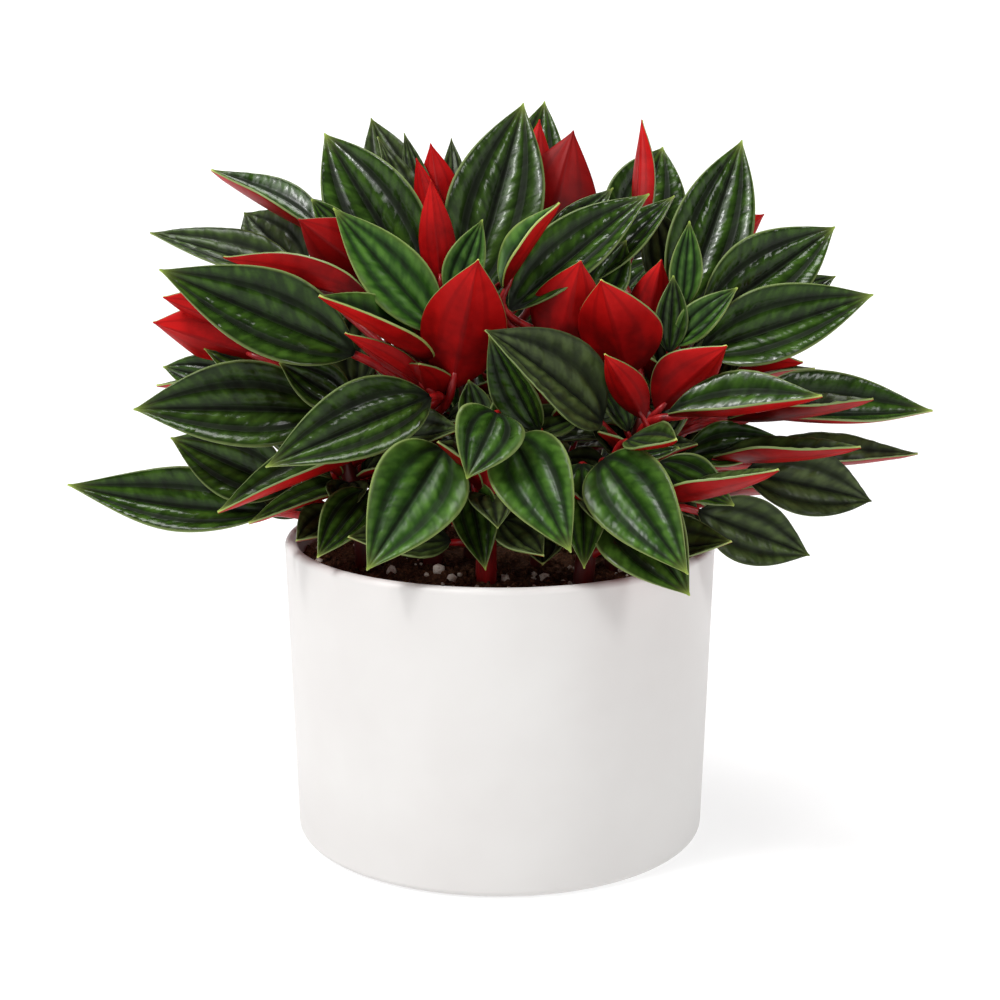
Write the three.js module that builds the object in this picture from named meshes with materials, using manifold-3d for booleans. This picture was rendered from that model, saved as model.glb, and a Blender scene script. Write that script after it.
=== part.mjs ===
// A potted peperomia: eleven leafy stems standing in soil in a plain white pot.
// Millimetres, +Z up. The origin is the centre of the pot's foot, on the surface it stands on,
// and the side that is seen first faces -Y.
import * as THREE from "three";
import { mergeVertices } from "three/addons/utils/BufferGeometryUtils.js";
import Module from "manifold-3d";

const wasm = await Module();
wasm.setup();

// Pot
const RIM_RADIUS = 65;
const FOOT_RADIUS = 62.5;
const POT_HEIGHT = 91.3;
const POT_WALL = 3.8;
const POT_FLOOR = 5;
const FOOT_ROUND = 2.2;
const POT_SIDES = 40;
const ROUND_STEPS = 4;

// Soil
const SOIL_TOP = 84.5;
const SOIL_GAP = 0.4;
const SOIL_RELIEF = 0.5;
const SOIL_RINGS = 4;
const SOIL_SIDES = 30;
const GRAIN_COUNT = 14;
const GRAIN_RADIUS = [1.3, 1.8];
const GRAIN_RING = [0.86, 0.95];

// Stems
const STEM_SUNK = 8;
const STEM_FOOT_RADIUS = 3.2;
const STEM_TOP_RADIUS = 2.4;
const STEM_SIDES = 7;
const STEM_STEPS = 4;
const HOLE_CLEARANCE = 0.35;

// Leaves
const BLADE_THICKNESS = 0.8;
const BLADE_FOLD = 0.5;
const RIB_RISE = 0.1;
const LONG_BLADE = 50;
const SHORT_BLADE = 24;
const STALK_RADIUS = 0.5;
const STALK_WIDEN = 0.035;
const STALK_CURVE = 0.45;
const STALK_DROP = 3;
const STALK_SLOPE = 0.6;
const LONG_STALK = 12;
const LOWEST_STALK = 8;

// Each stem: where it stands in the soil, its top, and its leaves. A leaf is the base and the
// tip of its blade, its width, how far its upper face looks up (0) or to the front (90), then
// its arch, how far it looks sideways, and how far its two halves are folded up.
const STEMS = {
  left: {
    foot: [-20, -10],
    top: [-20, -12, 151],
    leaves: [
      [[-59, 14, 169], [-80, 39, 185], 20, 60],
      [[-59, 4, 169], [-107, 24, 180], 16, 40],
      [[-37, -20, 165], [-80, -10, 176], 15, -50, -1],
      [[-33, -10, 167], [-58, -11, 187], 22, -85],
      [[-42, -18, 149], [-96, -26, 174], 26, 65, -1],
      [[-17, -19, 155], [-48, -10, 190], 19, 65],
      [[-20, -15, 145], [-50, -38, 168], 20, 24, 0, 0, 0.8],
      [[-20, -20, 139], [-44, -26, 156], 9, -50],
      [[-14, -20, 139], [-6, -38, 178], 25, -90, 0, 0, 0.35],
    ],
  },
  crest: {
    foot: [-8, -1],
    top: [-12, -1, 162],
    leaves: [
      [[-53, 6, 181], [-88, 26, 199], 18, 8, -1, 0, 0.8],
      [[-44, -4, 179], [-55, -2, 192], 9, 60],
      [[-22, -5, 164], [-53, 23, 210], 28, 80, 2],
      [[-24, 15, 176], [-40, 41, 214], 20, 90],
      [[-18, 5, 173], [-37, 23, 209], 11, 80, 0, 20],
      [[-20, 11, 179], [-29, 25, 210], 9, 90],
      [[-18, 5, 178], [-25, 15, 203], 9, -90],
      [[-16, 11, 181], [-21, 23, 207], 14, -90],
      [[-13, 17, 180], [-15, 35, 208], 9, 90],
      [[-17, -11, 167], [-20, -7, 198], 11, -90],
      [[-9, -5, 164], [7, 19, 219], 29, 85, 2],
      [[7, 25, 179], [14, 49, 219], 20, 90],
      [[8, 13, 179], [12, 27, 214], 15, -90],
      [[-14, -15, 164], [-5, -13, 187], 12, 75],
    ],
  },
  right: {
    foot: [34, -16],
    top: [43, -20, 133],
    leaves: [
      [[29, -28, 131], [-4, -50, 160], 25, 60, 2, 30],
      [[42, -10, 153], [47, -7, 175], 13, -80],
      [[37, -20, 143], [28, -34, 172], 25, -90, 0, 20, 0.3],
      [[69, -8, 141], [89, -8, 145], 10, -40],
      [[45, -22, 133], [64, -30, 153], 18, -60],
      [[48, -28, 133], [89, -44, 141], 22, 22, -2, 0, 0.75],
      [[72, -8, 130], [131, 6, 128], 26, 30, -2, 0, 0.7],
      [[75, -2, 114], [128, 10, 114], 17, 22, -2, 0, 0.8],
      [[71, -20, 114], [110, -12, 104], 21, 65, 2],
      [[53, -26, 120], [82, -18, 124], 15, 50],
      [[37, -22, 127], [24, -22, 149], 11, 80, 0, 40],
      [[41, -30, 132], [29, -40, 152], 11, -60],
      [[41, -6, 135], [36, 0, 153], 15, 75],
    ],
  },
  shoulder: {
    foot: [42, 0],
    top: [56, -1, 152],
    leaves: [
      [[38, 18, 172], [51, 45, 205], 26, 85],
      [[53, -2, 157], [73, 22, 208], 25, 80, 2],
      [[53, -10, 161], [55, -6, 186], 10, 80],
      [[49, -15, 149], [50, -13, 171], 10, 80],
      [[51, -15, 151], [68, -18, 168], 11, 50],
      [[65, 12, 175], [80, 20, 186], 12, -80],
      [[59, -10, 157], [100, 10, 183], 25, 70],
      [[80, 0, 159], [101, 12, 168], 10, 60],
      [[58, -16, 149], [107, -18, 166], 23, 65],
    ],
  },
  middle: {
    foot: [12, -13],
    top: [13, -11, 155],
    leaves: [
      [[12, 3, 173], [22, 19, 211], 28, -90, 0, 0, 0.35],
      [[1, -19, 168], [17, -17, 192], 15, 25, 0, -55, 0.8],
      [[2, -14, 141], [-3, -9, 162], 9, 80],
      [[41, 9, 181], [43, 25, 214], 9, -90, 0, 40],
      [[3, -15, 161], [44, 5, 193], 21, 65, 1, -20],
      [[12, 1, 173], [34, 17, 194], 12, 60],
      [[26, -7, 168], [52, 11, 192], 14, 30],
      [[17, -17, 149], [23, -20, 176], 22, -90, 0, 0, 0.35],
      [[25, -11, 161], [37, -1, 180], 15, 75],
    ],
  },
  front: {
    foot: [-4, -30],
    top: [-2, -34, 127],
    leaves: [
      [[11, -32, 129], [-3, -42, 158], 14, 60, 0, -30],
      [[4, -40, 128], [19, -70, 103], 23, 80, 3],
      [[-1, -44, 136], [-9, -60, 121], 20, 80, 2],
      [[-16, -36, 124], [-36, -66, 97], 27, 80, 3],
      [[-38, -26, 110], [-51, -48, 96], 15, 60],
      [[-9, -30, 114], [-4, -54, 94], 14, 80],
      [[-6, -24, 129], [-9, -22, 142], 10, 70],
      [[2, -27, 125], [5, -26, 144], 13, 75],
    ],
  },
  front_right: {
    foot: [24, -36],
    top: [32, -34, 119],
    leaves: [
      [[57, -30, 105], [90, -26, 91], 20, 75],
      [[45, -34, 120], [66, -40, 109], 14, 60],
      [[40, -28, 121], [51, -32, 124], 7, 50],
      [[29, -40, 122], [50, -74, 98], 24, 80, 3],
      [[34, -42, 111], [51, -70, 91], 26, 85, 3],
      [[23, -36, 120], [23, -60, 96], 16, 80, 2],
    ],
  },
  low_left: {
    foot: [-40, -14],
    top: [-50, -12, 127],
    leaves: [
      [[-80, 0, 155], [-100, 2, 163], 12, -60],
      [[-71, 2, 145], [-104, 6, 155], 22, -70],
      [[-20, -28, 138], [-64, -54, 123], 23, 65, 1],
      [[-29, -20, 124], [-79, -44, 108], 20, 12, 0, 0, 0.8],
      [[-37, -12, 111], [-72, -32, 102], 14, 10],
      [[-52, -8, 130], [-106, -20, 133], 27, 65, 2],
      [[-60, 2, 137], [-89, 6, 147], 17, 60],
      [[-44, -14, 133], [-64, -16, 146], 15, 60],
      [[-78, 5, 136], [-103, 15, 140], 13, 60],
      [[-63, -8, 107], [-98, -6, 122], 22, 70],
      [[-68, -12, 101], [-128, -12, 109], 22, 50, -5],
      [[-46, -4, 118], [-74, 2, 126], 18, 65],
    ],
  },
  back_left: { foot: [-34, 26], top: [-42, 30, 140], leaves: [] },
  back: { foot: [4, 40], top: [4, 40, 150], leaves: [] },
  back_right: { foot: [36, 28], top: [46, 34, 138], leaves: [] },
};

// The far side is filled by tiers of leaves, evenly round it: four from the lowest to the
// highest, and one of short inner leaves.
const TIERS = [
  { count: 8, from: 12, to: 168, baseOut: 66, baseUp: 100, tipOut: 118, tipUp: 98, width: 24 },
  { count: 7, from: 20, to: 160, baseOut: 58, baseUp: 120, tipOut: 112, tipUp: 134, width: 25 },
  { count: 6, from: 30, to: 152, baseOut: 50, baseUp: 142, tipOut: 98, tipUp: 166, width: 24 },
  { count: 5, from: 50, to: 146, baseOut: 40, baseUp: 158, tipOut: 80, tipUp: 192, width: 22 },
  { count: 4, from: 35, to: 145, baseOut: 26, baseUp: 116, tipOut: 54, tipUp: 140, width: 15 },
];

// Leaves that fill the plant out: the kind, how high its base is, and its azimuth round the stem.
// Each has its base and its tip at a distance out from the stem, its tip a rise above its base,
// and looks up or to the front.
const FLAT_LEAF = { out: 24, reach: 66, rise: 6, width: 21, facing: 0 };
const RISING_LEAF = { out: 20, reach: 58, rise: 14, width: 20, facing: 0 };
const INNER_LEAF = { out: 12, reach: 44, rise: 5, width: 18, facing: 40 };
const SHORT_LEAF = { out: 8, reach: 31, rise: 4, width: 14, facing: 40 };
const DROOPING_LEAF = { out: 8, reach: 31, rise: -5, width: 14, facing: 40 };
const FILL_ARCH = -2;
const FILL = {
  right: [[FLAT_LEAF, 130, 0], [FLAT_LEAF, 120, 340], [SHORT_LEAF, 112, 190]],
  shoulder: [[FLAT_LEAF, 150, 40]],
  front: [
    [DROOPING_LEAF, 104, 300],
    [SHORT_LEAF, 128, 30],
    [INNER_LEAF, 98, 210],
    [SHORT_LEAF, 106, 30],
  ],
  front_right: [[RISING_LEAF, 112, 320], [SHORT_LEAF, 128, 300], [INNER_LEAF, 98, 330]],
  low_left: [[INNER_LEAF, 125, 330], [DROOPING_LEAF, 104, 240]],
  crest: [[DROOPING_LEAF, 98, 300]],
  middle: [[DROOPING_LEAF, 98, 270], [SHORT_LEAF, 130, 0]],
  back_left: [[FLAT_LEAF, 120, 160], [SHORT_LEAF, 134, 120], [DROOPING_LEAF, 116, 330]],
  back: [[FLAT_LEAF, 112, 100], [INNER_LEAF, 116, 180]],
  back_right: [
    [FLAT_LEAF, 120, 60],
    [FLAT_LEAF, 140, 20],
    [INNER_LEAF, 104, 120],
    [DROOPING_LEAF, 122, 210],
  ],
};
const TIER_STEMS = { back_left: 155, back: 90, back_right: 25 };
const TIER_DEPTH = 0.9;
const TIER_ARCH = 3;
const TIER_AZIMUTH_DRAW = 3;
const TIER_HEIGHT_DRAW = 5;
const TIER_REACH_DRAW = [0.92, 1.04];
const TIER_WIDTH_DRAW = [0.85, 1.05];
const DRAW_SEED = 2024;
const DRAW_FACTOR = 16807;
const DRAW_SPAN = 2147483647;

const radians = THREE.MathUtils.degToRad;

// A small seeded generator, so that each build is the same.
let drawState = DRAW_SEED;
function draw(low, high) {
  drawState = (drawState * DRAW_FACTOR) % DRAW_SPAN;
  return low + ((high - low) * drawState) / DRAW_SPAN;
}

function backLeaves() {
  const rows = [];
  for (const tier of TIERS) {
    for (let i = 0; i < tier.count; i += 1) {
      const even = tier.from + ((tier.to - tier.from) * i) / (tier.count - 1);
      const azimuth = even + draw(-TIER_AZIMUTH_DRAW, TIER_AZIMUTH_DRAW);
      const reach = tier.tipOut * draw(...TIER_REACH_DRAW);
      const tipUp = tier.tipUp + draw(-TIER_HEIGHT_DRAW, TIER_HEIGHT_DRAW);
      const width = tier.width * draw(...TIER_WIDTH_DRAW);
      const across = Math.cos(radians(azimuth));
      const back = Math.sin(radians(azimuth)) * TIER_DEPTH;
      const base = [across * tier.baseOut, back * tier.baseOut, tier.baseUp];
      const tip = [across * reach, back * reach, tipUp];
      const away = (name) => Math.abs(TIER_STEMS[name] - azimuth);
      const stem = Object.keys(TIER_STEMS).sort((a, b) => away(a) - away(b))[0];
      rows.push({ stem, leaf: [base, tip, width, 0, TIER_ARCH] });
    }
  }
  return rows;
}

// Solids from meshes, and back
function solidOf(geometry) {
  const bare = geometry.clone();
  bare.deleteAttribute("normal");
  bare.deleteAttribute("uv");
  const merged = mergeVertices(bare, 1e-4);
  const vertProperties = Float32Array.from(merged.attributes.position.array);
  const triVerts = Uint32Array.from(merged.index.array);
  return new wasm.Manifold(new wasm.Mesh({ numProp: 3, vertProperties, triVerts }));
}

function geometryOf(solid) {
  const mesh = solid.getMesh();
  const geometry = new THREE.BufferGeometry();
  geometry.setAttribute("position", new THREE.BufferAttribute(mesh.vertProperties, 3));
  geometry.setIndex(new THREE.BufferAttribute(mesh.triVerts, 1));
  return geometry;
}

// A closed skin over rings of points. Where two rings differ in count, the points of the
// smaller one each serve several of the larger one's.
const RING_MATCH = {
  "2-6": [0, 0, 0, 1, 1, 1],
  "2-10": [0, 0, 0, 0, 0, 1, 1, 1, 1, 1],
  "4-6": [0, 1, 2, 2, 3, 0],
  "4-10": [0, 1, 1, 1, 2, 2, 3, 3, 3, 0],
};

function ringFaces(small, smallStart, large, largeStart) {
  const match = RING_MATCH[`${small}-${large}`];
  const faces = [];
  for (let j = 0; j < large; j += 1) {
    const next = (j + 1) % large;
    const near = smallStart + (match ? match[j] : j);
    const far = smallStart + (match ? match[next] : next);
    faces.push([near, largeStart + j, largeStart + next]);
    if (near !== far) faces.push([near, largeStart + next, far]);
  }
  return faces;
}

function loft(rings) {
  const starts = [];
  const points = [];
  for (const ring of rings) {
    starts.push(points.length);
    points.push(...ring);
  }
  const faces = [];
  for (let k = 0; k + 1 < rings.length; k += 1) {
    const here = rings[k].length;
    const there = rings[k + 1].length;
    if (here <= there) {
      faces.push(...ringFaces(here, starts[k], there, starts[k + 1]));
    } else {
      const backward = ringFaces(there, starts[k + 1], here, starts[k]);
      faces.push(...backward.map((face) => face.reverse()));
    }
  }
  const last = rings.length - 1;
  for (let j = 1; j + 1 < rings[0].length; j += 1) faces.push([0, j, j + 1]);
  for (let j = 1; j + 1 < rings[last].length; j += 1) {
    faces.push([starts[last], starts[last] + j + 1, starts[last] + j]);
  }
  const geometry = new THREE.BufferGeometry().setFromPoints(points);
  geometry.setIndex(faces.flat());
  return geometry;
}

// Stems
function stemPath({ foot, top }) {
  const start = new THREE.Vector3(foot[0], foot[1], SOIL_TOP);
  const end = new THREE.Vector3(...top);
  const bend = new THREE.Vector3(foot[0], foot[1], (start.z + end.z) / 2);
  return new THREE.QuadraticBezierCurve3(start, bend, end);
}

function stemRing(centre, heading, radius) {
  const turn = new THREE.Quaternion().setFromUnitVectors(new THREE.Vector3(0, 0, 1), heading);
  const ring = [];
  for (let j = 0; j < STEM_SIDES; j += 1) {
    const angle = (-2 * Math.PI * j) / STEM_SIDES;
    const point = new THREE.Vector3(radius * Math.cos(angle), radius * Math.sin(angle), 0);
    ring.push(point.applyQuaternion(turn).add(centre));
  }
  return ring;
}

function stemSolid(stem) {
  const path = stemPath(stem);
  const up = new THREE.Vector3(0, 0, 1);
  const sunk = new THREE.Vector3(stem.foot[0], stem.foot[1], SOIL_TOP - STEM_SUNK);
  const rings = [stemRing(sunk, up, STEM_FOOT_RADIUS)];
  for (let k = 0; k <= STEM_STEPS; k += 1) {
    const t = k / STEM_STEPS;
    const radius = STEM_FOOT_RADIUS + (STEM_TOP_RADIUS - STEM_FOOT_RADIUS) * t;
    rings.push(stemRing(path.getPoint(t), path.getTangent(t), radius));
  }
  return solidOf(loft(rings));
}

function pointAtHeight(stem, height) {
  return stemPath(stem).getPoint(Math.min(1, (height - SOIL_TOP) / (stem.top[2] - SOIL_TOP)));
}

function fillLeaves(name) {
  return (FILL[name] || []).map(([kind, height, azimuth]) => {
    const { x, y } = pointAtHeight(STEMS[name], height);
    const across = Math.cos(radians(azimuth));
    const back = Math.sin(radians(azimuth));
    const base = [x + across * kind.out, y + back * kind.out, height];
    const tip = [x + across * kind.reach, y + back * kind.reach, height + kind.rise];
    return [base, tip, kind.width, kind.facing, FILL_ARCH];
  });
}

// Where a leaf's stalk leaves its stem: below the blade's base, lower for a longer stalk.
function stalkRoot(stem, base) {
  const [topX, topY, topZ] = stem.top;
  const reach = Math.hypot(base.x - topX, base.y - topY);
  const below = base.z - STALK_SLOPE * reach - STALK_DROP;
  const height = Math.min(topZ - 1, Math.max(SOIL_TOP + LOWEST_STALK, below));
  return pointAtHeight(stem, height);
}

// Half the blade's width along it, from 0 at the base through 1 to 0 at the pointed tip.
const WIDEN = 0.8;
const NARROW = 1.15;
const WIDEST = WIDEN / (WIDEN + NARROW);
function bladeOutline(u) {
  return (u ** WIDEN * (1 - u) ** NARROW) / (WIDEST ** WIDEN * (1 - WIDEST) ** NARROW);
}

function bladeSteps(length) {
  if (length > LONG_BLADE) return [0.12, 0.34, 0.62, 0.85];
  if (length > SHORT_BLADE) return [0.18, 0.5, 0.8];
  return [0.3, 0.7];
}

// The blade is a boat: its midrib is sunk, a rib swells on each side of it, its margins rise.
function bladeRing(centre, side, up, halfWidth, fold, columns) {
  const at = (v, lift) => {
    const swell = Math.abs(v) === 0.5 ? RIB_RISE * halfWidth : 0;
    const rise = halfWidth * Math.abs(v) ** 1.5 * Math.sin(fold) + swell + lift;
    const out = halfWidth * v * Math.cos((fold * Math.abs(v)) / 2);
    return centre.clone().addScaledVector(side, out).addScaledVector(up, rise);
  };
  const upper = columns.map((v) => at(v, BLADE_THICKNESS / 2));
  const lower = columns.map((v) => at(v, -BLADE_THICKNESS / 2)).reverse();
  return [...upper, ...lower];
}

function stalkRing(centre, side, up, radius) {
  return [
    centre.clone().addScaledVector(side, -radius),
    centre.clone().addScaledVector(up, radius),
    centre.clone().addScaledVector(side, radius),
    centre.clone().addScaledVector(up, -radius),
  ];
}

function leafSolid(stem, [from, to, width, facing, arch = 0, sideways = 0, fold = BLADE_FOLD]) {
  const base = new THREE.Vector3(...from);
  const tip = new THREE.Vector3(...to);
  const chord = tip.clone().sub(base);
  const length = chord.length();
  chord.normalize();
  const look = new THREE.Vector3(
    Math.sin(radians(sideways)),
    -Math.cos(radians(sideways)) * Math.sin(radians(facing)),
    Math.cos(radians(sideways)) * Math.cos(radians(facing)),
  );
  const face = look.addScaledVector(chord, -look.dot(chord)).normalize();
  const side = face.clone().cross(chord);
  const crown = base.clone().add(tip).multiplyScalar(0.5).addScaledVector(face, 2 * arch);
  const midrib = new THREE.QuadraticBezierCurve3(base, crown, tip);

  const root = stalkRoot(stem, base);
  const start = midrib.getTangent(0);
  const stalkLength = root.distanceTo(base);
  const bend = base.clone().addScaledVector(start, -STALK_CURVE * stalkLength);
  const stalk = new THREE.QuadraticBezierCurve3(root, bend, base);
  const stalkRadius = STALK_RADIUS + STALK_WIDEN * width;
  const stalkSteps = stalkLength > LONG_STALK ? 2 : 1;
  const startUp = start.clone().cross(side);

  const rings = [];
  for (let k = 0; k <= stalkSteps; k += 1) {
    const heading = k < stalkSteps ? stalk.getTangent(k / stalkSteps) : start;
    const turn = new THREE.Quaternion().setFromUnitVectors(start, heading);
    const across = side.clone().applyQuaternion(turn);
    const up = startUp.clone().applyQuaternion(turn);
    rings.push(stalkRing(stalk.getPoint(k / stalkSteps), across, up, stalkRadius));
  }
  const columns = length > SHORT_BLADE ? [-1, -0.5, 0, 0.5, 1] : [-1, 0, 1];
  for (const u of bladeSteps(length)) {
    const up = midrib.getTangent(u).cross(side);
    const halfWidth = (width / 2) * bladeOutline(u);
    rings.push(bladeRing(midrib.getPoint(u), side, up, halfWidth, fold, columns));
  }
  const tipUp = midrib.getTangent(1).cross(side);
  rings.push([
    tip.clone().addScaledVector(tipUp, BLADE_THICKNESS / 2),
    tip.clone().addScaledVector(tipUp, -BLADE_THICKNESS / 2),
  ]);
  return solidOf(loft(rings));
}

function leafyStem(stem, leaves) {
  let solid = stemSolid(stem);
  for (const leaf of leaves) solid = solid.add(leafSolid(stem, leaf));
  return geometryOf(solid);
}

// Pot: a slightly tapered wall with a rounded lip, and a flat foot with a soft edge
function arcPoints(centreR, centreZ, radius, from, to) {
  const points = [];
  for (let k = 0; k <= ROUND_STEPS; k += 1) {
    const angle = radians(from + ((to - from) * k) / ROUND_STEPS);
    points.push([centreR + radius * Math.cos(angle), centreZ + radius * Math.sin(angle)]);
  }
  return points;
}

function wallInner(z) {
  return FOOT_RADIUS - POT_WALL + ((RIM_RADIUS - FOOT_RADIUS) * z) / POT_HEIGHT;
}

function potGeometry() {
  const lip = POT_WALL / 2;
  const profile = [
    [0, 0],
    ...arcPoints(FOOT_RADIUS - FOOT_ROUND, FOOT_ROUND, FOOT_ROUND, -90, 0),
    ...arcPoints(RIM_RADIUS - lip, POT_HEIGHT - lip, lip, 0, 180),
    [wallInner(POT_FLOOR), POT_FLOOR],
    [0, POT_FLOOR],
  ];
  return turned(profile, POT_SIDES);
}

// A solid of revolution about +Z, from [radius, height] points that start and end on the axis
function turned(profile, sides) {
  const lathe = new THREE.LatheGeometry(profile.map(([r, z]) => new THREE.Vector2(r, z)), sides);
  lathe.rotateX(Math.PI / 2);
  return geometryOf(solidOf(lathe));
}

// Soil: fills the pot to a little below its lip, with a lumpy top, pale grains and stem holes
function soilHeight(x, y) {
  const lumps = Math.sin(0.33 * x + 1.1) * Math.cos(0.27 * y) + 0.6 * Math.sin(0.7 * x - 0.6 * y);
  return SOIL_TOP + SOIL_RELIEF * lumps;
}

function soilGeometry() {
  const topRadius = wallInner(SOIL_TOP) - SOIL_GAP;
  const bottomRadius = wallInner(POT_FLOOR) - SOIL_GAP;
  const profile = [[0, POT_FLOOR], [bottomRadius, POT_FLOOR]];
  for (let k = SOIL_RINGS; k >= 0; k -= 1) profile.push([(topRadius * k) / SOIL_RINGS, SOIL_TOP]);
  const lump = turned(profile, SOIL_SIDES);
  const places = lump.attributes.position;
  for (let i = 0; i < places.count; i += 1) {
    if (places.getZ(i) > SOIL_TOP - 1) {
      places.setZ(i, soilHeight(places.getX(i), places.getY(i)));
    }
  }
  let solid = solidOf(lump);
  for (let i = 0; i < GRAIN_COUNT; i += 1) {
    const azimuth = draw(0, 2 * Math.PI);
    const out = topRadius * draw(...GRAIN_RING);
    const grain = new THREE.OctahedronGeometry(draw(...GRAIN_RADIUS));
    grain.rotateX(draw(0, 1)).rotateY(draw(0, 1));
    const x = out * Math.cos(azimuth);
    const y = out * Math.sin(azimuth);
    grain.translate(x, y, soilHeight(x, y));
    solid = solid.add(solidOf(grain));
  }
  const holeRadius = (STEM_FOOT_RADIUS + HOLE_CLEARANCE) / Math.cos(Math.PI / STEM_SIDES);
  const holeBottom = SOIL_TOP - STEM_SUNK - HOLE_CLEARANCE;
  for (const { foot } of Object.values(STEMS)) {
    const hole = new THREE.CylinderGeometry(holeRadius, holeRadius, 2 * STEM_SUNK, STEM_SIDES);
    hole.rotateX(Math.PI / 2).rotateZ(Math.PI / 2);
    hole.translate(foot[0], foot[1], holeBottom + STEM_SUNK);
    solid = solid.subtract(solidOf(hole));
  }
  return geometryOf(solid);
}

const glazedWhite = new THREE.MeshStandardMaterial({ color: "#edebe8", roughness: 0.4, metalness: 0 });
const darkSoil = new THREE.MeshStandardMaterial({ color: "#2c1b12", roughness: 0.95, metalness: 0 });
const LEAF_GREEN = { color: "#2f5a2a", roughness: 0.35, metalness: 0 };

function piece(name, geometry, material) {
  const mesh = new THREE.Mesh(geometry, material);
  mesh.name = name;
  return mesh;
}

const group = new THREE.Group();
group.add(piece("pot", potGeometry(), glazedWhite));
const plant = new THREE.Group();
const behind = backLeaves();
for (const [name, stem] of Object.entries(STEMS)) {
  const far = behind.filter((row) => row.stem === name).map((row) => row.leaf);
  const geometry = leafyStem(stem, [...stem.leaves, ...far, ...fillLeaves(name)]);
  plant.add(piece(`leafy_stem_${name}`, geometry, new THREE.MeshStandardMaterial(LEAF_GREEN)));
}
plant.add(piece("soil", soilGeometry(), darkSoil));
group.add(plant);

export default group;
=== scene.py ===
import math

import bmesh
import bpy
from mathutils import Matrix, Quaternion, Vector, noise


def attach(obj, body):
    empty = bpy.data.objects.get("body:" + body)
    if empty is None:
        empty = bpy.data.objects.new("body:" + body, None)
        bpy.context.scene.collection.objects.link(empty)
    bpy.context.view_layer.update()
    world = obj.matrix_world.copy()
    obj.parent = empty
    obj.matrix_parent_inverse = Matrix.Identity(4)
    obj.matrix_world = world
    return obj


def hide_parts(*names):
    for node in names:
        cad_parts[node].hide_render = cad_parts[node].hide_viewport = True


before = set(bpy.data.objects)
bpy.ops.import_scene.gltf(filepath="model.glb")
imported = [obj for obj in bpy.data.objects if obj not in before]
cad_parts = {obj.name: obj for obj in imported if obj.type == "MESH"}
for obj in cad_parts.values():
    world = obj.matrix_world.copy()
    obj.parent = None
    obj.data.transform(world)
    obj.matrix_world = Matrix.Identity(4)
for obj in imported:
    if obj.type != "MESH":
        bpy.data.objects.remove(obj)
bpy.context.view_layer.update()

MM = 0.001
UP = Vector((0, 0, 1))
MERGE_DISTANCE = 1e-6
PLACING_SEED = 2024
VARYING_SEED = 77

# The pot and the soil, in millimetres, as in the part's source
RIM_RADIUS = 65
FOOT_RADIUS = 62.5
POT_HEIGHT = 91.3
POT_WALL = 3.8
POT_FLOOR = 5
FOOT_ROUND = 2.2
FOOT_ROUND_STEPS = 8
LIP_STEPS = 12
POT_STEPS = 160
SOIL_TOP = 84.5
SOIL_GAP = 0.4
GRAIN_COUNT = 14
GRAIN_RADIUS = (1.3, 1.8)
GRAIN_RING = (0.86, 0.95)
SOIL_RELIEF = 0.5

# What only the scene adds to the soil: crumbs, bark and more pale grains. Each ring is from
# where to where they lie, as a share of the soil's radius.
CRUMB_RELIEF = 0.8
SOIL_RINGS = 58
SOIL_STEPS = 180
SURFACE_BAND = 1
BARK_COUNT = 900
BARK_RADIUS = (0.5, 1.5)
BARK_RING = (0.3, 0.97)
SMALL_GRAIN_COUNT = 110
SMALL_GRAIN_RADIUS = (0.5, 1.1)
SMALL_GRAIN_RING = (0.4, 0.96)
FRONT_GRAIN_RADIUS = (1.6, 2.1)
FRONT_GRAINS = ((-32, -21), (-18, -23), (-14, -30), (2, -29), (13, -29), (26, -27), (36, -20))
LUMP_LIFT = 0.2
LUMP_RAGGEDNESS = (0.72, 1.15)

# The soil's lumps are two waves that cross, and its crumbs two layers of noise: where each
# layer is cut from the noise, its scale and its share
LUMP_WAVES = (0.33, 0.27)
LUMP_SHIFT = 1.1
CROSS_WAVES = (0.7, 0.6)
CROSS_SHARE = 0.6
CRUMB_LAYERS = ((3, 0.45, 1), (7, 1.1, 0.6))

# The stems and the leaves, in millimetres
STEM_SUNK = 8
STEM_FOOT_RADIUS = 3.2
STEM_TOP_RADIUS = 2.4
STEM_STEPS = 10
STEM_SIDES = 14
BLADE_THICKNESS = 0.8
BLADE_FOLD = 0.5
STALK_RADIUS = 0.5
STALK_WIDEN = 0.035
STALK_CURVE = 0.45
STALK_DROP = 3
STALK_SLOPE = 0.6
LOWEST_STALK = 8
STALK_BELOW = 0.8
STALK_BELOW_TOP = 1
STALK_FOOT = 1.15
STALK_TAPER = 0.25
STALK_STEPS = 7
STALK_SIDES = 9
WIDEN = 0.8
NARROW = 1.15
BASE_WIDTH = 0.6
TIP_HALF_WIDTH = 0.2
MARGIN_THINNING = 0.4
FOLD_CURVE = 1.5

# Where the stalk runs on under the blade, as a share of its length, and how thick it is there
STALK_UNDER_BLADE = ((0.06, 0.8), (0.14, 0.45))

# A blade's relief: where its veins are, from 0 at the midrib to 1 at the margin, how high the
# ribs between them swell for the blade's half width, the waves of its margin, the slanted
# wrinkles on the ribs, and the shares of its length over which all this fades at its ends
VEINS = (0.0, 0.5, 1.04)
RIB_ROUNDNESS = 0.7
RIB_RISE = 0.095
VEIN_DEPTH = 0.02
RIDGE_WIDTH = 0.1
RIDGE_RISE = 0.4
WAVE_SIZE = (0.02, 0.05)
WAVE_TURNS = 9
WAVE_LAG = 1.7
WRINKLE_SLANT = 0.8
WRINKLE_LENGTH = 2.8
WRINKLE_RISE = 0.32
WRINKLE_STRETCH = 0.7
OLD_WRINKLES = 2.2
FLANKS_APART = 5
END_FADE = (0.12, 0.1)

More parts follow.
